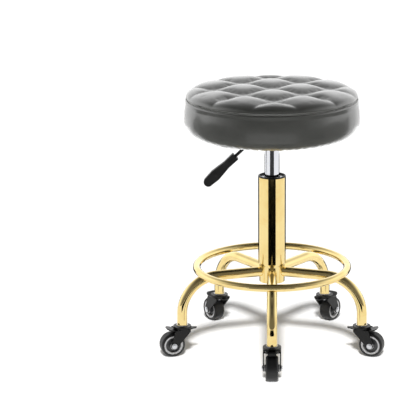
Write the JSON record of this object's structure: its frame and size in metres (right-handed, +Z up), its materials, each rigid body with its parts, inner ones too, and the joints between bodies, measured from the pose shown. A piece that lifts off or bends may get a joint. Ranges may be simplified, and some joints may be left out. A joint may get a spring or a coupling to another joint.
{
  "type": "pedicure stool",
  "caption": "Height-adjustable round stool with a quilted leather seat, a gas lift with a side lever, a foot ring and a gold splayed base on braked casters.",
  "frame": {"origin": "on the column's axis, at the level of the floor that the wheels stand on", "axes": "+Z up along the column; the front leg points along -Y; the lever points along -X at rest"},
  "size_m": [0.4262, 0.4058, 0.5098],
  "materials": {
    "grey_leather": "smooth glossy grey synthetic leather, quilted on top",
    "foam": "open-cell polyurethane foam",
    "plywood": "raw birch plywood",
    "dust_cloth": "black non-woven cloth",
    "black_steel": "black powder coat",
    "zinc_steel": "bright zinc plate",
    "gold_plate": "polished gold-tone plating on steel",
    "chrome_plate": "polished hard chrome",
    "black_plastic": "moulded black plastic",
    "grip_plastic": "moulded black plastic with a fine grain",
    "bush_plastic": "natural white acetal",
    "black_rubber": "black rubber",
    "bronze": "sintered bronze",
    "rim_plastic": "moulded pale grey plastic",
    "tyre_black": "satin black polyurethane"
  },
  "bodies": {
    "base": {"hub": "gold_plate", "leg_front": "gold_plate", "leg_right": "gold_plate", "leg_back_right": "gold_plate", "leg_back_left": "gold_plate", "leg_left": "gold_plate", "foot_ring": "gold_plate", "cover_tube": "gold_plate", "steel_column": "zinc_steel", "guide_bush": "bush_plastic", "column_collar": "black_plastic", "lower_race": "zinc_steel", "caster_stems": "zinc_steel"},
    "spindle": {"piston_rod": "chrome_plate", "piston": "bronze", "bump_stop": "black_rubber", "upper_race": "zinc_steel", "rod_clip": "zinc_steel"},
    "bearing": {"ball_cage": "bronze"},
    "seat": {"seat_cover": "grey_leather", "seat_foam": "foam", "seat_board": "plywood", "board_nuts": "zinc_steel", "dust_cover": "dust_cloth", "mounting_plate": "black_steel", "plate_bolts": "zinc_steel", "lever_bracket": "black_steel", "taper_socket": "black_steel", "lever_pin": "zinc_steel", "pressure_tube": "chrome_plate", "valve_body": "bronze", "rod_guide": "black_rubber"},
    "lever": {"lever_rod": "black_steel", "lever_grip": "grip_plastic"},
    "button": {"release_pin": "zinc_steel"},
    "caster_front": {"fork_front": "black_plastic", "axle_front": "zinc_steel"},
    "wheel_front": {"rim_front": "rim_plastic", "tyre_front": "tyre_black"},
    "pedal_front": {"brake_front": "black_plastic"},
    "caster_right": {"fork_right": "black_plastic", "axle_right": "zinc_steel"},
    "wheel_right": {"rim_right": "rim_plastic", "tyre_right": "tyre_black"},
    "pedal_right": {"brake_right": "black_plastic"},
    "caster_back_right": {"fork_back_right": "black_plastic", "axle_back_right": "zinc_steel"},
    "wheel_back_right": {"rim_back_right": "rim_plastic", "tyre_back_right": "tyre_black"},
    "pedal_back_right": {"brake_back_right": "black_plastic"},
    "caster_back_left": {"fork_back_left": "black_plastic", "axle_back_left": "zinc_steel"},
    "wheel_back_left": {"rim_back_left": "rim_plastic", "tyre_back_left": "tyre_black"},
    "pedal_back_left": {"brake_back_left": "black_plastic"},
    "caster_left": {"fork_left": "black_plastic", "axle_left": "zinc_steel"},
    "wheel_left": {"rim_left": "rim_plastic", "tyre_left": "tyre_black"},
    "pedal_left": {"brake_left": "black_plastic"}
  },
  "joints": [
    {"name": "seat_swivel", "type": "hinge", "parent": "base", "child": "spindle", "pos_m": [0, 0, 0.139], "axis": [0, 0, 1], "continuous": true},
    {"name": "bearing_roll", "type": "hinge", "parent": "base", "child": "bearing", "pos_m": [0, 0, 0.136], "axis": [0, 0, 1], "continuous": true},
    {"name": "seat_lift", "type": "slide", "parent": "spindle", "child": "seat", "axis": [0, 0, 1], "range_m": [-0.05, 0.1]},
    {"name": "lever_pull", "type": "hinge", "parent": "seat", "child": "lever", "pos_m": [-0.018, 0, 0.4168], "axis": [0, 1, 0], "range_deg": [0, 8], "stiffness_Nm_per_rad": 2, "springref_deg": -5.73},
    {"name": "button_press", "type": "slide", "parent": "seat", "child": "button", "axis": [0, 0, -1], "range_m": [0, 0.0026]},
    {"name": "caster_front_swivel", "type": "hinge", "parent": "base", "child": "caster_front", "pos_m": [0, -0.1785, 0.054], "axis": [0, 0, 1], "continuous": true},
    {"name": "wheel_front_roll", "type": "hinge", "parent": "caster_front", "child": "wheel_front", "pos_m": [0, -0.1985, 0.023], "axis": [1, 0, 0], "continuous": true},
    {"name": "brake_front_press", "type": "hinge", "parent": "caster_front", "child": "pedal_front", "pos_m": [0, -0.1905, 0.0498], "axis": [1, 0, 0], "range_deg": [0, 5.5]},
    {"name": "caster_right_swivel", "type": "hinge", "parent": "base", "child": "caster_right", "pos_m": [0.16976, -0.05516, 0.054], "axis": [0, 0, 1], "continuous": true},
    {"name": "wheel_right_roll", "type": "hinge", "parent": "caster_right", "child": "wheel_right", "pos_m": [0.18879, -0.06134, 0.023], "axis": [0.309, 0.9511, 0], "continuous": true},
    {"name": "brake_right_press", "type": "hinge", "parent": "caster_right", "child": "pedal_right", "pos_m": [0.18118, -0.05887, 0.0498], "axis": [0.309, 0.9511, 0], "range_deg": [0, 5.5]},
    {"name": "caster_back_right_swivel", "type": "hinge", "parent": "base", "child": "caster_back_right", "pos_m": [0.10492, 0.14441, 0.054], "axis": [0, 0, 1], "continuous": true},
    {"name": "wheel_back_right_roll", "type": "hinge", "parent": "caster_back_right", "child": "wheel_back_right", "pos_m": [0.11668, 0.16059, 0.023], "axis": [-0.809, 0.5878, 0], "continuous": true},
    {"name": "brake_back_right_press", "type": "hinge", "parent": "caster_back_right", "child": "pedal_back_right", "pos_m": [0.11197, 0.15412, 0.0498], "axis": [-0.809, 0.5878, 0], "range_deg": [0, 5.5]},
    {"name": "caster_back_left_swivel", "type": "hinge", "parent": "base", "child": "caster_back_left", "pos_m": [-0.10492, 0.14441, 0.054], "axis": [0, 0, 1], "continuous": true},
    {"name": "wheel_back_left_roll", "type": "hinge", "parent": "caster_back_left", "child": "wheel_back_left", "pos_m": [-0.11668, 0.16059, 0.023], "axis": [-0.809, -0.5878, 0], "continuous": true},
    {"name": "brake_back_left_press", "type": "hinge", "parent": "caster_back_left", "child": "pedal_back_left", "pos_m": [-0.11197, 0.15412, 0.0498], "axis": [-0.809, -0.5878, 0], "range_deg": [0, 5.5]},
    {"name": "caster_left_swivel", "type": "hinge", "parent": "base", "child": "caster_left", "pos_m": [-0.16976, -0.05516, 0.054], "axis": [0, 0, 1], "continuous": true},
    {"name": "wheel_left_roll", "type": "hinge", "parent": "caster_left", "child": "wheel_left", "pos_m": [-0.18879, -0.06134, 0.023], "axis": [0.309, -0.9511, 0], "continuous": true},
    {"name": "brake_left_press", "type": "hinge", "parent": "caster_left", "child": "pedal_left", "pos_m": [-0.18118, -0.05887, 0.0498], "axis": [0.309, -0.9511, 0], "range_deg": [0, 5.5]}
  ],
  "couplings": [
    {"joint": "bearing_roll", "follows": "seat_swivel", "ratio": 0.5},
    {"joint": "button_press", "follows": "lever_pull", "m_per_rad": 0.018}
  ]
}
